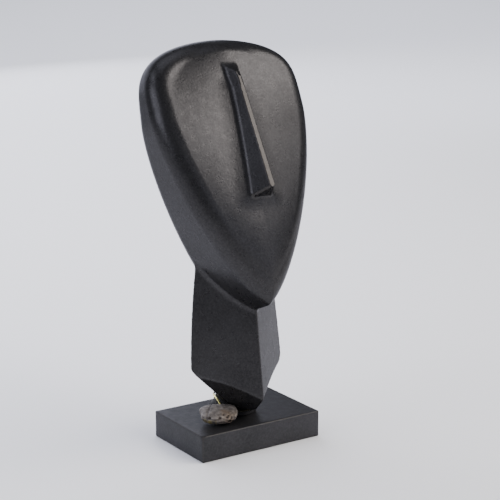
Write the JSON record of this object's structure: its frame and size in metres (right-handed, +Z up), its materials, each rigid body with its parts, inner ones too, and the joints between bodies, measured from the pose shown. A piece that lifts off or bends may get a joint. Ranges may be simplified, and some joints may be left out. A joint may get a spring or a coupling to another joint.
{
  "type": "bronze head sculpture",
  "caption": "Abstract bronze head: a leaning shield-shaped face with a long flat nose, on a faceted neck and an oval foot, set on a plain rectangular plate, with a seal wired to the foot.",
  "frame": {"origin": "centre of the plate's underside", "axes": "+Z up along the standing height, -Y the way the face looks, +X to the right seen from the front"},
  "size_m": [0.087, 0.0614, 0.1995],
  "materials": {
    "head_bronze": "dark brown-black patina, semi-gloss, with a fine stipple from casting",
    "base_bronze": "dark grey-black patina, satin, rubbed lighter along the edges",
    "seal_lead": "dull crumpled lead with a yellowed lower rim",
    "wire_brass": "bright drawn brass"
  },
  "bodies": {
    "root": {"head": "head_bronze", "base": "base_bronze", "lead_seal": "seal_lead", "seal_wire": "wire_brass"}
  },
  "joints": []
}
